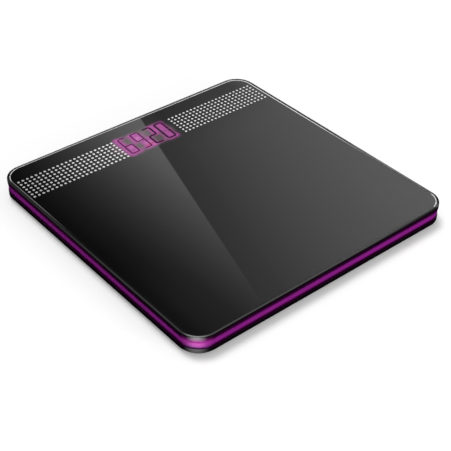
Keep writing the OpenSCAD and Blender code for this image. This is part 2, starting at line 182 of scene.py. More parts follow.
glassLook = {
    "shader": {"IOR": 1.5, "Coat IOR": 3.0, "Coat Roughness": 0.06},
    "cornerRadius": 20.5 * mm,
    "top": rgb(0.0022, 0.0022, 0.0024), "bevel": rgb(0.004, 0.0042, 0.0042),
    # painted glow: the glass side turns from its dark colour at the top to a painted purple glow further down, stronger
    # towards the far end along y
    "side": rgb(0.006, 0.0012, 0.0052), "paintedSideGlow": rgb(0.026, 0.0004, 0.023),
    "paintedSideGlowFar": rgb(0.060, 0.0008, 0.052), "paintedSideGlowY": (-100 * mm, 60 * mm),
    # painted highlight on the glass side at the near corner, and a painted pink tint on its reflections there
    "paintedCornerHighlight": rgb(0.22, 0.010, 0.17), "paintedCornerTint": rgb(0.95, 0.43, 0.80),
    "sideFrom": 0.2 * mm, "sideTo": 0.5 * mm, "paintedTintFrom": 0.8 * mm, "paintedTintTo": 1.0 * mm,
    "smears": (14, 4, 0.35, 0.75), "smearShade": 1.25, "smearRoughness": 0.012,
    "roughness": 0.012, "bevelRoughness": 0.09,
    "bevelWidth": 1.7 * mm, "bevelSoft": 0.01 * mm, "bevelTilt": 0.03,
    "rimNear": 1.75 * mm, "rimFar": 2.3 * mm, "rimSoft": 0.08 * mm, "rimTilt": 0.10, "rimTurn": (-0.3, 0.3),
    "widening": 0.75 * mm, "wideningX": (-100 * mm, 60 * mm), "wideningY": (-130 * mm, -70 * mm),
    "lineFrom": 2.5 * mm, "lineTo": 3.4 * mm, "lineSoft": 0.1 * mm, "lineTilt": 0.265,
    "chips": (420, 3, 0.3, 0.7), "chipCover": (0.75, 1.2),
}


# distance inwards from the platform's outline, in metres: a square with rounded corners
def insetFromOutline(mat):
    radius = glassLook["cornerRadius"]
    place = axes(mat)
    alongX, alongY = (minus(mat, calc(mat, "ABSOLUTE", place[axis]), halfSide - radius) for axis in (0, 1))
    outX, outY = (calc(mat, "MAXIMUM", along, 0.0) for along in (alongX, alongY))
    beyond = calc(mat, "SQRT", plus(mat, times(mat, outX, outX), times(mat, outY, outY)))
    inside = calc(mat, "MINIMUM", calc(mat, "MAXIMUM", alongX, alongY), 0.0)
    return minus(mat, radius, plus(mat, beyond, inside)), place


# unit vector pointing out of the platform's outline
def outward(mat, place):
    reach = halfSide - glassLook["cornerRadius"]
    parts = []
    for axis in (0, 1):
        beyond = calc(mat, "MAXIMUM", minus(mat, calc(mat, "ABSOLUTE", place[axis]), reach), 0.1 * mm)
        parts.append(times(mat, beyond, calc(mat, "SIGN", place[axis])))
    joined = addNode(mat, "CombineXYZ", {"X": parts[0], "Y": parts[1], "Z": 0.0}).outputs[0]
    return unitVector(mat, joined)


nearCornerTurn = (0.70, 1.0)


# 1 where the outline turns towards the near corner's own direction, 0 along the straight sides; it lays the painted
# highlight at the near corner
def towardNearCorner(mat, direction):
    return ramp(mat, alongWay(mat, direction, nearWay), *nearCornerTurn)


def leaning(mat, direction, amount):
    own = addNode(mat, "NewGeometry", {}).outputs["Normal"]
    push = addNode(mat, "VectorMath", {0: direction, "Scale": amount}, operation="SCALE").outputs[0]
    return unitVector(mat, addVectors(mat, own, push))


# the bare glass face: its smears, and its colour and roughness under them
def glassFace(mat):
    look = glassLook
    smears = patches(mat, look["smears"])
    color = blendColors(mat, smears, look["top"], scaled(look["top"], look["smearShade"]))
    return color, times(mat, smears, look["smearRoughness"])


def blackGlass():
    look = glassLook
    mat, shader = startMaterial("blackGlass", look["shader"])
    inset, place = insetFromOutline(mat)
    direction = outward(mat, place)
    facingFar = alongWay(mat, direction, farWay)
    onFar = ramp(mat, facingFar, *look["rimTurn"])
    widening = times(mat, onFar, ramp(mat, place[0], *look["wideningX"], 0.0, look["widening"]),
                     ramp(mat, place[1], *look["wideningY"]))
    moved = minus(mat, inset, widening)
    rimWidth = ramp(mat, facingFar, *look["rimTurn"], look["rimNear"], look["rimFar"])
    onRim = ramp(mat, minus(mat, moved, rimWidth), look["rimSoft"], -look["rimSoft"])
    onBevel = ramp(mat, inset, look["bevelWidth"] + look["bevelSoft"], look["bevelWidth"] - look["bevelSoft"])
    onSide = ramp(mat, place[2], glassTop - look["sideFrom"], glassTop - look["sideTo"])
    onTop = minus(mat, 1.0, onSide)

    top, polish = glassFace(mat)
    color = blendColors(mat, onRim, top, look["bevel"])
    # painted glow: the glass side is painted purple lower down, towards the trim, and more so towards the far end
    paintedGlowShare = ramp(mat, place[2], glassTop - look["paintedTintFrom"], glassLow.z + look["paintedTintTo"])
    # painted highlight: the glass side is painted lighter at the near corner, and its reflections there are tinted pink
    paintedCornerShare = towardNearCorner(mat, direction)
    glow = blendColors(mat, ramp(mat, place[1], *look["paintedSideGlowY"]), look["paintedSideGlow"], look["paintedSideGlowFar"])
    glow = blendColors(mat, paintedCornerShare, glow, look["paintedCornerHighlight"])
    color = blendColors(mat, onSide, color, blendColors(mat, paintedGlowShare, look["side"], glow))
    drive(mat, shader, "Base Color", color)
    paintedTintShare = times(mat, paintedCornerShare, paintedGlowShare, onSide)
    drive(mat, shader, "Specular Tint", blendColors(mat, paintedTintShare, grey(1.0), look["paintedCornerTint"]))

    # the line just inside the rim is a patch of coat that leans outwards
    onLine = times(mat, insideOf(mat, moved, look["lineFrom"], look["lineTo"], look["lineSoft"]), onTop)
    chips = patches(mat, look["chips"], *look["chipCover"])
    drive(mat, shader, "Coat Weight", calc(mat, "MULTIPLY", onLine, chips, clamp=True))
    drive(mat, shader, "Coat Normal", leaning(mat, direction, look["lineTilt"]))
    tilt = ramp(mat, onBevel, 0.0, 1.0, look["rimTilt"], look["bevelTilt"])
    drive(mat, shader, "Normal", leaning(mat, direction, times(mat, onRim, onTop, tilt)))
    ground = times(mat, calc(mat, "MAXIMUM", onRim, onSide), look["bevelRoughness"])
    drive(mat, shader, "Roughness", plus(mat, ground, polish, look["roughness"]))
    return mat


trimLook = {
    # painted shade: the deep colour darkens the trim's top and bottom edges, the bright colour is its middle; rise and
    # fade place that painted shade
    "bright": rgb(0.285, 0.0115, 0.270), "deep": rgb(0.055, 0.0006, 0.048),
    # painted highlight: the trim's middle and edges are painted lighter at the near corner, and its middle is lifted
    # there
    "paintedCornerBright": rgb(0.50, 0.035, 0.40), "paintedCornerDeep": rgb(0.30, 0.04, 0.32), "glint": rgb(1.0, 0.30, 0.78),
    "rise": 0.75 * mm, "riseLeft": 1.25 * mm, "riseCorner": 0.8 * mm, "leftEnd": (6 * mm, 12 * mm),
    "fade": (0.15, 1.05), "flow": (18, 2, 0.3, 0.7), "flowShade": (0.95, 1.04),
    "roughness": 0.24, "tooth": (40, 3, 0.3, 0.7), "toothRoughness": 0.03,
}


def purpleTrim():
    look = trimLook
    low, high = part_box("trim_band")
    middle, half = (low.z + high.z) / 2, (high.z - low.z) / 2
    mat, shader = startMaterial("purpleTrim", {"IOR": 1.6, "Specular Tint": look["glint"]})
    place = axes(mat)
    paintedCornerShare = towardNearCorner(mat, outward(mat, place))
    leftEnd = (-halfSide + inwards for inwards in look["leftEnd"])
    rise = ramp(mat, place[0], *leftEnd, look["riseLeft"], look["rise"])
    rise = plus(mat, rise, times(mat, paintedCornerShare, look["riseCorner"]))
    # painted shade: the trim darkens from its middle towards its top and bottom edges
    height = calc(mat, "ABSOLUTE", minus(mat, minus(mat, place[2], middle), rise))
    paintedEdgeShade = ramp(mat, height, *(half * share for share in look["fade"]))
    # painted highlight: lighter middle and edge colours at the near corner
    bright = blendColors(mat, paintedCornerShare, look["bright"], look["paintedCornerBright"])
    deep = blendColors(mat, paintedCornerShare, look["deep"], look["paintedCornerDeep"])
    color = blendColors(mat, paintedEdgeShade, bright, deep)
    drive(mat, shader, "Base Color", shadeColor(mat, color, patches(mat, look["flow"], *look["flowShade"])))
    rough = patches(mat, look["tooth"], look["roughness"], look["roughness"] + look["toothRoughness"])
    drive(mat, shader, "Roughness", rough)
    return mat


trayLook = {
    # painted glow: the tray wall is painted purple just below the trim
    "wall": rgb(0.0025, 0.0022, 0.0025), "paintedWallGlow": rgb(0.036, 0.0005, 0.031), "under": rgb(0.022, 0.022, 0.023),
    "wallInset": (2.2 * mm, 1.2 * mm), "paintedGlowFrom": 2.1 * mm, "paintedGlowTo": 1.3 * mm,
    "wallRoughness": 0.16, "underRoughness": 0.55, "sparkRoughness": 0.06,
    "spark": 2600, "sparkDetail": 2, "sparkStrength": 0.5, "sparkDepth": 0.06 * mm,
    "flow": (22, 3, 0.35, 0.7), "flowShade": 0.8,
}


def blackTray():
    look = trayLook
    mat, shader = startMaterial("blackTray", {"IOR": 1.46})
    inset, place = insetFromOutline(mat)
    onWall = ramp(mat, inset, *look["wallInset"])
    spark = grain(mat, look["spark"], look["sparkDetail"])
    under = blendColors(mat, patches(mat, look["flow"]), look["under"], scaled(look["under"], look["flowShade"]))
    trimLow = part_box("trim_band")[0].z
    # painted glow: the wall turns purple towards the trim's lower edge
    paintedGlowNearTrim = ramp(mat, place[2], trimLow - look["paintedGlowFrom"], trimLow + look["paintedGlowTo"])
    wall = blendColors(mat, paintedGlowNearTrim, look["wall"], look["paintedWallGlow"])
    drive(mat, shader, "Base Color", blendColors(mat, onWall, under, wall))
    rough = ramp(mat, onWall, 0.0, 1.0, look["underRoughness"], look["wallRoughness"])
    drive(mat, shader, "Roughness", plus(mat, rough, times(mat, spark, look["sparkRoughness"])))
    texture = times(mat, spark, minus(mat, 1.0, onWall))
    roughen(mat, shader, texture, look["sparkStrength"], look["sparkDepth"])
    return mat


# families of finishes for the smaller pieces

mouldedLook = {
    "flow": (45, 3, 0.3, 0.7), "shade": 0.78, "detail": 2, "toothFade": (0.3, 0.7), "spread": 0.08, "bump": 0.35,
}


def moulded(name, color, roughness, fine=1800, depth=0.04 * mm):
    look = mouldedLook
    mat, shader = startMaterial(name, {"IOR": 1.5})
    drive(mat, shader, "Base Color", blendColors(mat, patches(mat, look["flow"]), color, scaled(color, look["shade"])))
    tooth = grain(mat, fine, look["detail"])
    drive(mat, shader, "Roughness", ramp(mat, tooth, *look["toothFade"], roughness, roughness + look["spread"]))
    roughen(mat, shader, tooth, look["bump"], depth)
    return mat


metalLook = {
    "stain": (60, 3, 0.4, 0.8), "shade": 0.82, "detail": 4, "lineFade": (0.25, 0.75), "spread": 0.16,
    "bump": 0.25, "depth": 0.03 * mm,
}


def rolledMetal(name, color, roughness, stretch=(1, 1, 1), scratch=320):
    look = metalLook
    mat, shader = startMaterial(name, {"Metallic": 1.0})
    lines = grain(mat, scratch, look["detail"], stretch)
    drive(mat, shader, "Base Color", blendColors(mat, patches(mat, look["stain"]), color, scaled(color, look["shade"])))
    drive(mat, shader, "Roughness", ramp(mat, lines, *look["lineFade"], roughness, roughness + look["spread"]))
    roughen(mat, shader, lines, look["bump"], look["depth"])
    return mat


rubberLook = {
    "shader": {"IOR": 1.45, "Sheen Weight": 0.06, "Sheen Roughness": 0.5},
    "dust": (70, 4, 0.45, 0.75), "shade": 1.7, "detail": 3, "roughness": (0.3, 0.7, 0.62, 0.8),
    "bump": 0.4, "depth": 0.06 * mm,
}


def softRubber(name, color, fine=900):
    look = rubberLook
    mat, shader = startMaterial(name, look["shader"])
    drive(mat, shader, "Base Color", blendColors(mat, patches(mat, look["dust"]), color, scaled(color, look["shade"])))
    tooth = grain(mat, fine, look["detail"])
    drive(mat, shader, "Roughness", ramp(mat, tooth, *look["roughness"]))
    roughen(mat, shader, tooth, look["bump"], look["depth"])
    return mat


sheathLook = {"scuff": (260, 3, 0.45, 0.75), "shade": 0.72, "tooth": (700, 3, 0.3, 0.7), "roughness": (0.38, 0.5)}


def cableSheath(name, color):
    look = sheathLook
    mat, shader = startMaterial(name, {"IOR": 1.5})
    drive(mat, shader, "Base Color", blendColors(mat, patches(mat, look["scuff"]), color, scaled(color, look["shade"])))
    drive(mat, shader, "Roughness", patches(mat, look["tooth"], *look["roughness"]))
    return mat


boardLook = {
    "mask": rgb(0.012, 0.13, 0.045), "trace": rgb(0.03, 0.23, 0.085), "cell": 6.0 * mm, "turn": 45, "fold": 0.34,
    "traceEdge": (0.12, 0.16), "roughness": (0.3, 0.42), "bump": 0.4, "depth": 0.04 * mm,
}


def boardLaminate():
    look = boardLook
    mat, shader = startMaterial("boardLaminate", {"IOR": 1.5})
    turned = {"Vector": objectPlace(mat), "Rotation": (0, 0, math.radians(look["turn"]))}
    place = addNode(mat, "Mapping", turned).outputs[0]
    wires = addNode(mat, "TexVoronoi", {"Vector": place, "Scale": 1 / look["cell"]}, distance="MANHATTAN")
    trace = ramp(mat, calc(mat, "PINGPONG", wires.outputs["Distance"], look["fold"]), *look["traceEdge"])
    drive(mat, shader, "Base Color", blendColors(mat, trace, look["trace"], look["mask"]))
    drive(mat, shader, "Roughness", ramp(mat, trace, 0.0, 1.0, *look["roughness"]))
    roughen(mat, shader, minus(mat, 1.0, trace), look["bump"], look["depth"])
    return mat


sleeveLook = {
    "shader": {"IOR": 1.5, "Coat Weight": 0.3, "Coat Roughness": 0.1},
    "body": rgb(0.02, 0.021, 0.024), "cap": rgb(0.56, 0.27, 0.10), "capMetal": 0.7,
    "ring": rgb(0.75, 0.75, 0.76), "metal": rgb(0.72, 0.72, 0.73),
    "capLength": 12 * mm, "capSoft": 0.15 * mm, "ringLength": 1.2 * mm, "ringSoft": 0.1 * mm,
    "nub": (0.95 * mm, 0.85 * mm), "base": (0.5 * mm, 0.35 * mm),
    "rub": (180, 4, 0.55, 0.8), "rubShare": 0.25, "rubStretch": (1, 0.3, 1),
    "tooth": (500, 3, 0.3, 0.7), "roughness": (0.22, 0.34),
    "facing": {"battery_1": 1, "battery_2": -1, "battery_3": 1, "battery_4": -1},
}


# a plain two-colour sleeve with a pale ring where the colours meet, and a bare nub
def cellSleeve(name, node):
    look = sleeveLook
    low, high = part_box(node)
    mat, shader = startMaterial(name, look["shader"])
    fromEnd = distanceFrom(mat, axes(mat)[1], high.y if look["facing"][node] > 0 else low.y)
    capEnd, ringEnd = look["capLength"], look["capLength"] + look["ringLength"]
    onCap = ramp(mat, fromEnd, capEnd + look["capSoft"], capEnd)
    onRing = times(mat, ramp(mat, fromEnd, capEnd - look["ringSoft"], capEnd),
                   ramp(mat, fromEnd, ringEnd, ringEnd - look["ringSoft"]))
    onNub = ramp(mat, fromEnd, *look["nub"])
    onBase = ramp(mat, fromEnd, *(high.y - low.y - inwards for inwards in look["base"]))
    bare = calc(mat, "MAXIMUM", onNub, onBase)
    rub = patches(mat, look["rub"], 0.0, look["rubShare"], look["rubStretch"])
    color = blendColors(mat, onCap, look["body"], look["cap"])
    color = blendColors(mat, onRing, color, look["ring"])
    color = blendColors(mat, calc(mat, "MAXIMUM", bare, rub), color, look["metal"])
    drive(mat, shader, "Base Color", color)
    drive(mat, shader, "Metallic", calc(mat, "MAXIMUM", bare, times(mat, onCap, look["capMetal"])))
    drive(mat, shader, "Roughness", patches(mat, look["tooth"], *look["roughness"]))
    return mat


dieLook = {
    "light": 1.4, "deep": rgb(0.62, 0.05, 0.50), "bright": rgb(0.80, 0.12, 0.66),
    "spots": (500, 2, 0.3, 0.7), "roughness": (0.3, 0.42),
}


def litDie():
    look = dieLook
    mat, shader = startMaterial("ledLight", {"IOR": 1.5, "Emission Strength": look["light"]})
    spots = patches(mat, look["spots"])
    color = blendColors(mat, spots, look["deep"], look["bright"])
    drive(mat, shader, "Base Color", color)
    drive(mat, shader, "Emission Color", color)
    drive(mat, shader, "Roughness", ramp(mat, spots, 0.0, 1.0, *look["roughness"]))
    return mat


def paint(material, *names):
    for name in names:
        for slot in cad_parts[name].material_slots:
            slot.material = material


def paintCorners(material, stem):
    paint(material, *(stem + corner for corner in ("fl", "fr", "bl", "br")))


paint(blackGlass(), "glass_platform")
paint(purpleTrim(), "trim_band")
paint(blackTray(), "base_tray")
paint(moulded("blackInk", rgb(0.006, 0.006, 0.007), 0.3, fine=900, depth=0.01 * mm), "print_layer")
paint(moulded("smokedFilm", rgb(0.05, 0.008, 0.045), 0.14, fine=900, depth=0.005 * mm), "display_film")
paint(softRubber("foamTape", rgb(0.02, 0.02, 0.021), fine=1600), "glass_tape", "frame_pads")
paint(moulded("blackFrame", rgb(0.012, 0.012, 0.013), 0.45), "upper_frame")
paint(rolledMetal("zincSteel", rgb(0.62, 0.63, 0.66), 0.24, scratch=900), "case_screws", "board_screws")
paintCorners(moulded("footPlastic", rgb(0.02, 0.02, 0.022), 0.5), "foot_cup_")
paintCorners(softRubber("padRubber", rgb(0.012, 0.012, 0.012)), "foot_pad_")
paintCorners(rolledMetal("cellSteel", rgb(0.60, 0.60, 0.59), 0.26, stretch=(1, 14, 1)), "load_cell_")
paintCorners(moulded("carrierPlastic", rgb(0.035, 0.035, 0.038), 0.48), "cell_carrier_")
paint(moulded("gaugeCoating", rgb(0.74, 0.71, 0.62), 0.32, fine=600, depth=0.08 * mm), "strain_gauges")
paint(cableSheath("greyCable", rgb(0.42, 0.42, 0.43)), "cell_cables")
paint(cableSheath("redCable", rgb(0.42, 0.015, 0.012)), "battery_leads")
paint(moulded("coverPlastic", rgb(0.02, 0.02, 0.021), 0.5, fine=2400, depth=0.06 * mm), "battery_cover")
for cell in sleeveLook["facing"]:
    paint(cellSleeve("cellSleeve" + cell[-1], cell), cell)
paint(rolledMetal("springWire", rgb(0.72, 0.72, 0.73), 0.18), "battery_springs")
paint(rolledMetal("contactPlate", rgb(0.70, 0.69, 0.66), 0.22, stretch=(9, 1, 1)), "contact_plates")
paint(boardLaminate(), "main_board")
paint(moulded("ledEpoxy", rgb(0.008, 0.008, 0.009), 0.28, fine=1200, depth=0.01 * mm), "led_housing")
paint(litDie(), "lit_segments")
paint(rolledMetal("tinnedWire", rgb(0.66, 0.66, 0.65), 0.3, stretch=(1, 1, 4)), "led_pins")
paint(moulded("chipResin", rgb(0.012, 0.012, 0.013), 0.55, fine=1400, depth=0.03 * mm), "controller")
paint(moulded("chipCeramic", rgb(0.42, 0.30, 0.17), 0.4, fine=1200, depth=0.02 * mm), "board_parts")
paint(moulded("socketNylon", rgb(0.72, 0.68, 0.58), 0.42), "cable_sockets")
paint(moulded("buttonPlastic", rgb(0.05, 0.05, 0.056), 0.42, fine=2000, depth=0.04 * mm), "unit_button")
paint(moulded("switchPlastic", rgb(0.03, 0.03, 0.032), 0.4), "unit_switch")
print("finishes are on the frame's nodes")


# pieces printed and lit on the glass

def placeMesh(bm, name, material):
    mesh = bpy.data.meshes.new(name)
    bm.to_mesh(mesh)
    bm.free()
    mesh.materials.append(material)
    thing = bpy.data.objects.new(name, mesh)
    bpy.context.scene.collection.objects.link(thing)
    return thing


def finishPiece(bm, name, material):
    bmesh.ops.remove_doubles(bm, verts=bm.verts, dist=1e-7)
    bmesh.ops.recalc_face_normals(bm, faces=bm.faces)
    piece = placeMesh(bm, name, material)
    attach(piece, "scale")
    return piece


def vertsOf(result):
    return [v for v in result["geom"] if isinstance(v, bmesh.types.BMVert)]


def eachOnce(items):
    return list(dict.fromkeys(items))


def bevelEdges(bm, edges, width, steps):
    bmesh.ops.bevel(bm, geom=edges, offset=width, affect="EDGES", segments=steps, profile=0.5, material=-1)


dots = {
    "columns": 23, "rows": 7, "pitch": 4.8256 * mm, "firstRow": 96.91 * mm, "sides": 14,
    "proud": 0.03 * mm, "sunk": 0.01 * mm, "edge": 0.02 * mm,
    "groups": ((-142.86 * mm, 1.26 * mm), (34.88 * mm, 1.15 * mm)),  # first column, radius
    # the dots fade from grey at the left end to near white
    "ink": rgb(0.90, 0.90, 0.90), "dotsGreyLeft": rgb(0.50, 0.50, 0.50), "greyFadeX": (-150 * mm, -45 * mm),
    "cover": (90, 3, 0.3, 0.7), "coverShade": (1.0, 0.92), "tooth": (900, 3, 0.3, 0.7), "roughness": (0.05, 0.09),
}


def dotInk():
    mat, shader = startMaterial("dotInk", {"IOR": 1.5})
    # the dots are grey at the left end and turn near white towards the middle
    ink = blendColors(mat, ramp(mat, axes(mat)[0], *dots["greyFadeX"]), dots["dotsGreyLeft"], dots["ink"])
    drive(mat, shader, "Base Color", shadeColor(mat, ink, patches(mat, dots["cover"], *dots["coverShade"])))
    drive(mat, shader, "Roughness", patches(mat, dots["tooth"], *dots["roughness"]))
    return mat


def makeDots():
    bm = bmesh.new()
    for start, radius in dots["groups"]:
        disc = bmesh.ops.create_circle(bm, cap_ends=True, segments=dots["sides"], radius=radius)
        bmesh.ops.translate(bm, verts=disc["verts"], vec=(start, dots["firstRow"], glassTop - dots["sunk"]))
        flat = disc["verts"][0].link_faces[0]
        raised = vertsOf(bmesh.ops.extrude_face_region(bm, geom=[flat], use_keep_orig=True))
        bmesh.ops.translate(bm, verts=raised, vec=(0, 0, dots["sunk"] + dots["proud"]))
        walls = eachOnce(e for v in [*disc["verts"], *raised] for e in v.link_edges)
        faces = eachOnce(f for e in walls for f in e.link_faces)
        oneDot = [*disc["verts"], *raised, *walls, *faces]
        for column in range(dots["columns"]):
            for row in range(dots["rows"]):
                if column or row:
                    shifted = vertsOf(bmesh.ops.duplicate(bm, geom=oneDot))
                    bmesh.ops.translate(bm, verts=shifted, vec=(column * dots["pitch"], row * dots["pitch"], 0))
    rims = [e for e in bm.edges if all(v.co.z > glassTop + dots["proud"] / 2 for v in e.verts)]
    bevelEdges(bm, rims, dots["edge"], 1)
    return finishPiece(bm, "dotPrint", dotInk())


reading = {
    "digits": ("acdefg", "abcdfg", "abdeg", "abcdef"), "firstDigit": -25.55 * mm, "pitch": 14.93 * mm,
    "middle": 112.1 * mm, "halfHeight": 14.1 * mm, "halfWidth": 4.38 * mm, "slant": 0.055,
    "strokeLeft": 1.5 * mm, "strokeRight": 2.3 * mm, "strokeSplit": -3 * mm, "strokeLift": 0.03 * mm,
    "strokeGap": 0.1 * mm, "strokeRound": 0.62 * mm,
    "point": (-4.0 * mm, 98.4 * mm), "pointRadius": 1.1 * mm, "pointSides": 24,
}


# ends of one segment's middle line, by its letter: a top, b and c right, d bottom, e and f left, g middle
def segmentEnds(letter, centre):
    w, h, y = reading["halfWidth"], reading["halfHeight"], reading["middle"]
    ends = {
        "a": ((-w, h), (w, h)), "g": ((-w, 0), (w, 0)), "d": ((-w, -h), (w, -h)),
        "f": ((-w, 0), (-w, h)), "b": ((w, 0), (w, h)), "e": ((-w, -h), (-w, 0)), "c": ((w, -h), (w, 0)),
    }[letter]
    return [Vector((centre + p[0] + reading["slant"] * p[1], y + p[1], 0)) for p in ends]


strokeLook = {
    "shader": {"IOR": 1.3, "Specular IOR Level": 0.2}, "split": (-5 * mm, 1 * mm),
    "left": rgb(0.085, 0.003, 0.062), "right": rgb(0.022, 0.0004, 0.016), "mottled": rgb(0.13, 0.004, 0.10),
    "mottle": (260, 3, 0.35, 0.7), "mottleShare": 0.35, "roughness": (0.55, 0.68),
}


def strokeInk():
    look = strokeLook
    mat, shader = startMaterial("strokeInk", look["shader"])
    color = blendColors(mat, ramp(mat, axes(mat)[0], *look["split"]), look["left"], look["right"])
    mottle = patches(mat, look["mottle"])
    color = blendColors(mat, times(mat, mottle, look["mottleShare"]), color, look["mottled"])
    drive(mat, shader, "Base Color", color)
    drive(mat, shader, "Roughness", ramp(mat, mottle, 0.0, 1.0, *look["roughness"]))
    return mat


def makeStrokes():
    bm = bmesh.new()
    strokes = [
        segmentEnds(letter, reading["firstDigit"] + number * reading["pitch"])
        for number, lit in enumerate(reading["digits"]) for letter in lit
    ]
    for start, end in strokes:
        run = end - start
        length = run.length - 2 * reading["strokeGap"]
        middle = (start + end) / 2 + Vector((0, 0, glassTop + reading["strokeLift"] / 2))
        place = Matrix.Translation(middle) @ Matrix.Rotation(math.atan2(run.y, run.x), 4, "Z")
        width = reading["strokeLeft"] if middle.x < reading["strokeSplit"] else reading["strokeRight"]
        size = Matrix.Diagonal((length, width, reading["strokeLift"], 1))
        bar = bmesh.ops.create_cube(bm, size=1.0, matrix=place @ size)
        edges = eachOnce(e for v in bar["verts"] for e in v.link_edges)
        upright = [e for e in edges if abs(e.verts[0].co.z - e.verts[1].co.z) > reading["strokeLift"] / 2]
        bevelEdges(bm, upright, reading["strokeRound"], 2)
    return finishPiece(bm, "readingStrokes", strokeInk())


glowLook = {
    "half": (41 * mm, 23.5 * mm), "middle": (-2.9 * mm, 112.1 * mm), "cells": 170,
    "lift": 0.012 * mm, "thickness": 0.03 * mm,
    "glow": (0.37, 0.055, 0.29), "haze": (0.075, 0.050, 0.060), "blush": (0.42, 0.045, 0.18), "flare": (0.9, 0.55, 0.8),
    "mostShare": 0.97, "fadeLength": 1.3, "fadePower": 2.3, "hazeRoughness": 0.5,
    "cloud": (150, 3, 0.3, 0.7), "cloudShade": (0.85, 1.12),
    # soft spots of light in millimetres: from x, y to x, y, full within, gone beyond, share
    "spots": (
        (-25.6, 101.5, -25.6, 108.5, 4.0, 6.5, 1.0), (-30.8, 98, -30.3, 125, 2.6, 6.6, 0.9),
        (-29, 126, -22, 126, 0.6, 4.5, 0.6), (-29, 98, -22, 98, 2.0, 6.5, 0.8),
        (-18.5, 110, -18.5, 114, 0.5, 3.5, 0.6), (-11, 115.5, -11, 122.5, 4.2, 6.8, 1.0),
        (-15.5, 113, -15.5, 125, 1.6, 5.0, 0.8), (-9.6, 99, -9.3, 112, 2.6, 5.4, 1.0),
        (-12.5, 98.5, -5, 98.5, 2.0, 6.0, 0.85), (-4.2, 99, -4.2, 108.5, 2.0, 4.6, 0.9),
        (-3.5, 112, -3.5, 122, 0.5, 4.5, 0.4), (-1.5, 98, -1, 110, 1.6, 4.0, 0.7),
        (0, 112, 8.5, 112, 0.8, 3.2, 0.7), (9.0, 113.5, 9.4, 125, 2.8, 5.0, 0.85),
        (12.4, 116, 12.6, 125, 2.2, 4.2, 1.0), (13, 98, 12.5, 112, 1.0, 4.2, 0.4),
        (0.5, 97.5, 8, 97.5, 0.8, 3.6, 0.45), (19.4, 117, 19.6, 122, 3.8, 6.0, 0.85),
        (19.2, 101, 19.2, 106, 3.8, 6.0, 0.9), (19.3, 107, 19.4, 116, 3.0, 5.4, 0.6),
        (23.3, 99, 24, 125, 1.2, 4.4, 0.5), (15.5, 98, 22.5, 98, 1.8, 6.2, 0.85), (16, 126, 23.5, 126, 1.0, 5.0, 0.7),
    ),
    "hazeSpot": (-27, 112, 12, 112, 14, 20, 1.0),
    "blushSpot": (-9.6, 99.3, -5.0, 102.0, 1.4, 3.6, 0.9),
    # extra light inside the brightest loops
    "flareSpots": (
        (-10.8, 113.5, -11.2, 117, 1.5, 4.6, 0.16), (-25.8, 107.5, -25.8, 108.5, 1.6, 4.2, 0.10),
        (-4.5, 104.5, -9.5, 104.5, 1.4, 4.0, 0.10),
    ),
}


def spotShare(x, y, spot):
    startX, startY, endX, endY, full, gone, strength = spot
    start, place = Vector((startX, startY)), Vector((x, y))
    run = Vector((endX, endY)) - start
    share = min(1.0, max(0.0, (place - start).dot(run) / run.length_squared))
    fade = ((place - start - share * run).length - full) / (glowLook["fadeLength"] * (gone - full))
    return strength * (1.0 - min(1.0, max(0.0, fade))) ** glowLook["fadePower"]


def glowColor(x, y):
    look = glowLook
    x, y = x / mm, y / mm
    unlit = 1.0
    for spot in look["spots"]:
        unlit *= 1.0 - min(look["mostShare"], spotShare(x, y, spot))
    haze = unlit * spotShare(x, y, look["hazeSpot"])
    blush = spotShare(x, y, look["blushSpot"])
    flare = sum(spotShare(x, y, spot) for spot in look["flareSpots"])
    glow = [(1 - blush) * g + blush * b for g, b in zip(look["glow"], look["blush"])]
    return [(1.0 - unlit) * g + haze * h + flare * f for g, h, f in zip(glow, look["haze"], look["flare"])]


def glowingGlass():
    look = glowLook
    values = {"IOR": 1.5, "Base Color": glassLook["top"], "Emission Strength": 1.0}
    mat, shader = startMaterial("glowingGlass", values)
    color, polish = glassFace(mat)
    drive(mat, shader, "Base Color", color)
    glow = addNode(mat, "Attribute", {}, attribute_name="glow").outputs
    haze = times(mat, glow["Fac"], look["hazeRoughness"])
    drive(mat, shader, "Roughness", plus(mat, haze, plus(mat, polish, glassLook["roughness"])))
    cloud = patches(mat, look["cloud"], *look["cloudShade"])
    drive(mat, shader, "Emission Color", shadeColor(mat, glow["Color"], cloud))
    return mat


def makeGlowSheet():
    look = glowLook
    bm = bmesh.new()
    wide, deep = look["half"]
    bmesh.ops.create_grid(bm, x_segments=look["cells"], y_segments=int(look["cells"] * deep / wide), size=1.0)
    bmesh.ops.scale(bm, vec=(wide, deep, 1), verts=bm.verts)
    bmesh.ops.translate(bm, vec=(*look["middle"], glassTop + look["lift"]), verts=bm.verts)
    under = vertsOf(bmesh.ops.extrude_face_region(bm, geom=list(bm.faces), use_keep_orig=True))
    bmesh.ops.translate(bm, vec=(0, 0, -look["thickness"]), verts=under)
    piece = finishPiece(bm, "readingGlow", glowingGlass())
    glow = piece.data.attributes.new("glow", "FLOAT_COLOR", "POINT")
    for index, vertex in enumerate(piece.data.vertices):
        glow.data[index].color = rgb(*glowColor(vertex.co.x, vertex.co.y))
    return piece


pointLook = {
    "light": 0.5, "deep": rgb(0.36, 0.05, 0.20), "bright": rgb(0.52, 0.10, 0.20), "spots": (300, 3, 0.3, 0.7),
    "tooth": (900, 3, 0.3, 0.7), "roughness": (0.05, 0.08),
}


def pointLight():
    look = pointLook
    mat, shader = startMaterial("pointLight", {"IOR": 1.5, "Emission Strength": look["light"]})
    color = blendColors(mat, patches(mat, look["spots"]), look["deep"], look["bright"])
    drive(mat, shader, "Base Color", color)
    drive(mat, shader, "Emission Color", color)
    drive(mat, shader, "Roughness", patches(mat, look["tooth"], *look["roughness"]))
    return mat


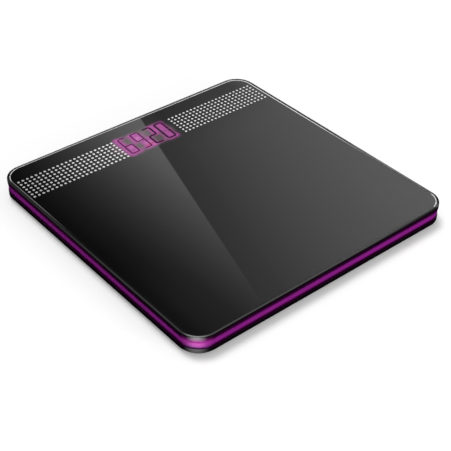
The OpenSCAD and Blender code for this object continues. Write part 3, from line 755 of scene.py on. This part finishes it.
def makePoint():
    bm = bmesh.new()
    radius, lift = reading["pointRadius"], reading["strokeLift"]
    place = Matrix.Translation((*reading["point"], glassTop + lift / 2))
    bmesh.ops.create_cone(bm, cap_ends=True, segments=reading["pointSides"], radius1=radius, radius2=radius,
                          depth=lift, matrix=place)
    return finishPiece(bm, "readingPoint", pointLight())


makeDots()
makeGlowSheet()
makeStrokes()
makePoint()
print("dots and reading are on the glass")


# stage: floor, surroundings, reflecting panel and lamps

# 1 for what the camera sees directly, mirrored or through glass, 0 for light that falls on things
def seenShare(mat):
    path = addNode(mat, "LightPath", {}).outputs
    mirrored = calc(mat, "MAXIMUM", path["Is Glossy Ray"], path["Is Transmission Ray"])
    return calc(mat, "MAXIMUM", path["Is Camera Ray"], mirrored)


def stageGrid(halfSize):
    bm = bmesh.new()
    bmesh.ops.create_grid(bm, x_segments=1, y_segments=1, size=halfSize)
    return bm


floorLook = {"size": 30.0, "shade": 0.80, "lift": 0.24, "roughness": 0.9}


def makeFloor():
    look = floorLook
    values = {
        "Base Color": grey(look["shade"]), "Roughness": look["roughness"], "Specular IOR Level": 0.0,
        "Emission Color": grey(1.0),
    }
    mat, shader = startMaterial("paleFloor", values)
    drive(mat, shader, "Emission Strength", times(mat, seenShare(mat), look["lift"]))
    floor = placeMesh(stageGrid(look["size"] / 2), "floor", mat)
    floor.location.z = cadBox[0].z


worldLook = {"ambient": 0.42}


def makeWorld():
    world = bpy.data.worlds.new("surroundings")
    bpy.context.scene.world = world
    world.use_nodes = True
    background = world.node_tree.nodes["Background"]
    background.inputs["Color"].default_value = grey(1.0)
    ambient = worldLook["ambient"]
    strength = plus(world, times(world, seenShare(world), 1.0 - ambient), ambient)
    drive(world, background, "Strength", strength)


cameraLook = {
    "lens": 86.13, "azimuth": -40.1217, "elevation": 37.8132, "roll": 0.684, "clip": (0.05, 60),
    "target": (-18.5812 * mm, -29.9865 * mm, 2.9992 * mm), "distance": 996.5455 * mm,
}


def makeCamera():
    look = cameraLook
    azimuth, elevation, roll = (math.radians(look[key]) for key in ("azimuth", "elevation", "roll"))
    level = math.cos(elevation)
    back = Vector((math.sin(azimuth) * level, -math.cos(azimuth) * level, math.sin(elevation)))
    right = Vector((math.cos(azimuth), math.sin(azimuth), 0))
    up = back.cross(right)
    across = right * math.cos(roll) + up * math.sin(roll)
    upright = up * math.cos(roll) - right * math.sin(roll)
    data = bpy.data.cameras.new("studioCamera")
    data.lens = look["lens"]
    data.sensor_width = 36
    data.clip_start, data.clip_end = look["clip"]
    camera = bpy.data.objects.new("studioCamera", data)
    bpy.context.scene.collection.objects.link(camera)
    turn = Matrix((across, upright, back)).transposed().to_4x4()
    camera.matrix_world = Matrix.Translation(Vector(look["target"]) + back * look["distance"]) @ turn
    bpy.context.scene.camera = camera
    return camera.matrix_world.translation.copy()


# A dark room that only the gloss of the object mirrors, with a graded light panel in its ceiling. The panel is drawn
# at the platform's own scale and then enlarged, so a place on the panel is seen at the same place on the glass. It is
# placed once, for the studio camera, and stays there in other views.
ceilingLook = {
    "height": 2.0, "reach": 2.2, "half": 0.165, "panelSoft": 2 * mm,
    # light along x, in millimetres, on the panel's left part, and right of the slanted line on its right part
    "left": (
        (-150, 0.0040), (-140, 0.0048), (-120, 0.0097), (-100, 0.0185), (-80, 0.0307), (-60, 0.0467), (-40, 0.0648),
        (-20, 0.0887), (0, 0.1070), (20, 0.118),
    ),
    "right": (
        (0, 0.0319), (24, 0.0382), (31, 0.0423), (51, 0.0497), (71, 0.0578), (91, 0.0648), (111, 0.0723),
        (131, 0.0782), (151, 0.0843), (171, 0.0908), (202, 0.0976), (260, 0.1046),
    ),
    "base": 0.0025, "full": 0.12,
    "lineX": 13.05 * mm, "lineY": 144.57 * mm, "lineSlope": 0.307, "lineSoft": 0.5 * mm,
    "gain": 1.787, "gainX": -1.526, "gainY": -1.826,
    "nearLeftX": (-100 * mm, -142 * mm), "nearLeftY": (-30 * mm, -120 * mm, 0.0, 1.2),
    "backMiddleX": (24 * mm, 135 * mm, 12 * mm), "backMiddleY": (60 * mm, 150 * mm, 0.0, -0.36),
    "dark": 0.02, "pale": 0.38, "paleAcross": (0.45, 1.3), "paleNear": (-0.4, -1.3),
    "wallLow": 0.05, "wallHigh": 0.2, "wallEdge": -0.01,
    # cards round the panel: x from, to, softness; y from, to, softness; light, or y from, to and the lights there
    "cards": (
        ((-0.3, 0.03, 0.05), (-0.35, -0.2, 0.02), 1.3),
        ((-0.33, -0.2, 0.02), (-0.19, 0.25, 0.03), (-0.17, 0.07, 0.75, 0.24)),
        ((0.38, 0.48, 0.015), (-0.02, 0.12, 0.03), 2.6),
        ((0.52, 1.6, 0.03), (-0.33, 0.5, 0.03), 2.4),
        ((0.30, 0.56, 0.02), (-0.33, -0.21, 0.02), 2.4),
        ((0.13, 0.34, 0.02), (-0.43, -0.25, 0.02), 2.4),
        ((-0.24, 0.5, 0.03), (0.56, 2.0, 0.03), 2.2),
        ((-0.38, -0.2, 0.02), (0.33, 0.53, 0.03), 2.2),
        ((-0.47, -0.33, 0.02), (-0.02, 0.31, 0.03), (0.02, 0.26, 0.6, 2.2)),
    ),
    "spots": (((-0.25, -0.262, 0), 0.02, 0.07, 5.4), ((-0.72, -0.74, 0), 0.06, 0.22, 6.0)),  # place, full, gone, light
}


def stepsRamp(mat, value, stops):
    low, high = stops[0][0] * mm, stops[-1][0] * mm
    share = ramp(mat, value, low, high)
    share.node.interpolation_type = "LINEAR"
    node = addNode(mat, "ValToRGB", {"Fac": share})
    elements = node.color_ramp.elements
    for stop in stops[1:-1]:
        elements.new((stop[0] * mm - low) / (high - low))
    for element, (place, tone) in zip(elements, stops):
        element.position = (place * mm - low) / (high - low)
        element.color = grey(max(0.0, tone - ceilingLook["base"]) / ceilingLook["full"])
    return node.outputs["Color"]


def glossOnly(thing):
    for ray in ("camera", "diffuse", "transmission", "volume_scatter", "shadow"):
        setattr(thing, "visible_" + ray, False)


def emitter(name):
    mat = bpy.data.materials.new(name)
    mat.use_nodes = True
    mat.node_tree.nodes.remove(mat.node_tree.nodes["Principled BSDF"])
    return mat


def shine(mat, tone, gain):
    glow = addNode(mat, "Emission", {"Color": tone, "Strength": gain})
    drive(mat, mat.node_tree.nodes["Material Output"], "Surface", glow.outputs[0])


# tone and strength of the graded panel at a place on it
def panelLight(mat, place):
    look = ceilingLook
    lean = times(mat, minus(mat, place[1], look["lineY"]), look["lineSlope"])
    beyondLine = minus(mat, place[0], plus(mat, lean, look["lineX"]))
    onRight = ramp(mat, beyondLine, -look["lineSoft"], look["lineSoft"])
    left, right = stepsRamp(mat, place[0], look["left"]), stepsRamp(mat, beyondLine, look["right"])
    slope = plus(mat, times(mat, place[0], look["gainX"]), times(mat, place[1], look["gainY"]))
    nearLeft = times(mat, ramp(mat, place[0], *look["nearLeftX"]), ramp(mat, place[1], *look["nearLeftY"]))
    backMiddle = times(mat, insideOf(mat, place[0], *look["backMiddleX"]), ramp(mat, place[1], *look["backMiddleY"]))
    change = plus(mat, 1.0, nearLeft, times(mat, backMiddle, onRight))
    return blendColors(mat, onRight, left, right), times(mat, plus(mat, slope, look["gain"]), change)


# strength of the dark room and of the cards and spots in it
def roomLight(mat, place, overhead, floorAt):
    look = ceilingLook
    across, along = alongWay(mat, overhead, acrossWay), alongWay(mat, overhead, farWay)
    aside = calc(mat, "MAXIMUM", ramp(mat, calc(mat, "ABSOLUTE", across), *look["paleAcross"]),
                 ramp(mat, along, *look["paleNear"]))
    overheadTone = ramp(mat, aside, 0.0, 1.0, look["dark"], look["pale"])
    onWall = ramp(mat, place[2], 0.0, look["wallEdge"])
    wallTone = ramp(mat, place[2], floorAt, 0.0, look["wallLow"], look["wallHigh"])
    light = plus(mat, times(mat, onWall, wallTone), times(mat, minus(mat, 1.0, onWall), overheadTone))
    for alongX, alongY, tone in look["cards"]:
        if isinstance(tone, tuple):
            tone = ramp(mat, place[1], *tone)
        light = plus(mat, light, times(mat, insideOf(mat, place[0], *alongX), insideOf(mat, place[1], *alongY), tone))
    for spot, full, gone, tone in look["spots"]:
        away = addNode(mat, "VectorMath", {0: objectPlace(mat), 1: spot}, operation="DISTANCE").outputs["Value"]
        light = plus(mat, light, times(mat, ramp(mat, away, gone, full), tone))
    return light


def makeCeiling(cameraPlace):
    look = ceilingLook
    mirrored = Vector((cameraPlace.x, cameraPlace.y, 2 * glassTop - cameraPlace.z))
    enlarge = (look["height"] - mirrored.z) / (glassTop - mirrored.z)
    middle = mirrored + enlarge * (Vector((0, 0, glassTop)) - mirrored)
    floorAt = -look["height"] / enlarge
    bm = bmesh.new()
    room = bmesh.ops.create_cube(bm, size=2 * look["reach"])
    bmesh.ops.translate(bm, verts=room["verts"], vec=(0, 0, -look["reach"]))
    bmesh.ops.bisect_plane(bm, geom=[*bm.verts, *bm.edges, *bm.faces], plane_co=(0, 0, floorAt),
                           plane_no=(0, 0, -1), clear_outer=True)
    mat = emitter("ceilingShade")
    place = axes(mat)
    tone, strength = panelLight(mat, place)
    fromOverhead = addVectors(mat, objectPlace(mat), (middle.x / enlarge, middle.y / enlarge, 0))
    around = roomLight(mat, place, fromOverhead, floorAt)
    half, soft = look["half"], look["panelSoft"]
    onPanel = times(mat, *(insideOf(mat, place[axis], -half, half, soft) for axis in (0, 1)))
    strength = addNode(mat, "Mix", {0: onPanel, 2: around, 3: strength}, data_type="FLOAT").outputs[0]
    shine(mat, blendColors(mat, onPanel, grey(1.0), tone), strength)
    ceiling = placeMesh(bm, "ceiling", mat)
    ceiling.location = middle
    ceiling.scale = (enlarge, enlarge, enlarge)
    glossOnly(ceiling)


# A black sheet just above the floor, for gloss only, keeps the low sides dark. A pale fan on it before the near corner
# lights that corner.
sheetLook = {
    "half": 0.6, "height": 0.3 * mm, "fan": (-129.5 * mm, -129.5 * mm, 0), "fanLight": 6.0,
    "fanAcross": (0.70, -0.714, 0), "fanOut": (-0.714, -0.70, 0), "fanFull": 0.07, "fanEnd": 0.64,
    "fanNear": (14 * mm, 42 * mm), "fanFar": (75 * mm, 55 * mm),
}


def makeSheet():
    look = sheetLook
    mat = emitter("sheetShade")
    away = addNode(mat, "VectorMath", {0: objectPlace(mat), 1: look["fan"]}, operation="SUBTRACT").outputs[0]
    reach = addNode(mat, "VectorMath", {0: away}, operation="LENGTH").outputs["Value"]
    way = unitVector(mat, away)
    across = calc(mat, "ABSOLUTE", alongWay(mat, way, look["fanAcross"]))
    before = calc(mat, "GREATER_THAN", alongWay(mat, way, look["fanOut"]), 0.0)
    fan = times(mat, ramp(mat, across, look["fanEnd"], look["fanFull"]), before)
    ring = times(mat, ramp(mat, reach, *look["fanNear"]), ramp(mat, reach, *look["fanFar"]))
    shine(mat, grey(1.0), times(mat, fan, ring, look["fanLight"]))
    bm = stageGrid(look["half"])
    bmesh.ops.translate(bm, vec=(0, 0, cadBox[0].z + look["height"]), verts=bm.verts)
    sheet = placeMesh(bm, "blackSheet", mat)
    glossOnly(sheet)


# A low strip beyond the far corner, for gloss only, lights the ground line along the far edges.
stripLook = {
    "place": (2.1, 2.5, 0.35), "width": 2.9, "height": 0.70,
    "light": 2.9, "lightLeft": 1.75, "leftPart": (-0.9, -0.1), "rightEnd": (1.15, 0.75),
}


def makeStrip():
    look = stripLook
    mat = emitter("stripShade")
    sideways = alongWay(mat, objectPlace(mat), acrossWay)
    middle = acrossWay[0] * look["place"][0] + acrossWay[1] * look["place"][1]
    leftPart, rightEnd = ([middle + offset for offset in look[key]] for key in ("leftPart", "rightEnd"))
    light = ramp(mat, sideways, *leftPart, look["lightLeft"], look["light"])
    shine(mat, grey(1.0), times(mat, light, ramp(mat, sideways, *rightEnd)))
    bm = stageGrid(0.5)
    facing = Vector((-look["place"][0], -look["place"][1], 0)).to_track_quat("Z", "Y").to_matrix().to_4x4()
    size = Matrix.Diagonal((look["width"], look["height"], 1, 1))
    bmesh.ops.transform(bm, matrix=Matrix.Translation(look["place"]) @ facing @ size, verts=bm.verts)
    strip = placeMesh(bm, "farStrip", mat)
    glossOnly(strip)


lampLook = {
    "sun": {"strength": 1.75, "angle": 24, "towards": (-0.03, -0.31, -1.0)},
    "front": {"power": 5.0, "size": 0.5, "place": (0.25, -1.35, 0.30), "aim": (0.0, -0.15, 0.01)},
}


def placeLamp(lamp, place, towards):
    thing = bpy.data.objects.new(lamp.name, lamp)
    thing.location = place
    thing.rotation_euler = Vector(towards).to_track_quat("-Z", "Y").to_euler()
    thing.visible_glossy = False
    bpy.context.scene.collection.objects.link(thing)


def makeLamps():
    look = lampLook["sun"]
    sun = bpy.data.lights.new("softSun", "SUN")
    sun.energy = look["strength"]
    sun.angle = math.radians(look["angle"])
    placeLamp(sun, (0, 0, 0), look["towards"])
    look = lampLook["front"]
    front = bpy.data.lights.new("frontBox", "AREA")
    front.energy = look["power"]
    front.size = look["size"]
    placeLamp(front, look["place"], Vector(look["aim"]) - Vector(look["place"]))


makeFloor()
makeWorld()
makeCeiling(makeCamera())
makeSheet()
makeStrip()
makeLamps()
bpy.context.scene.view_settings.view_transform = "Standard"
print("stage, camera and lamps are set")
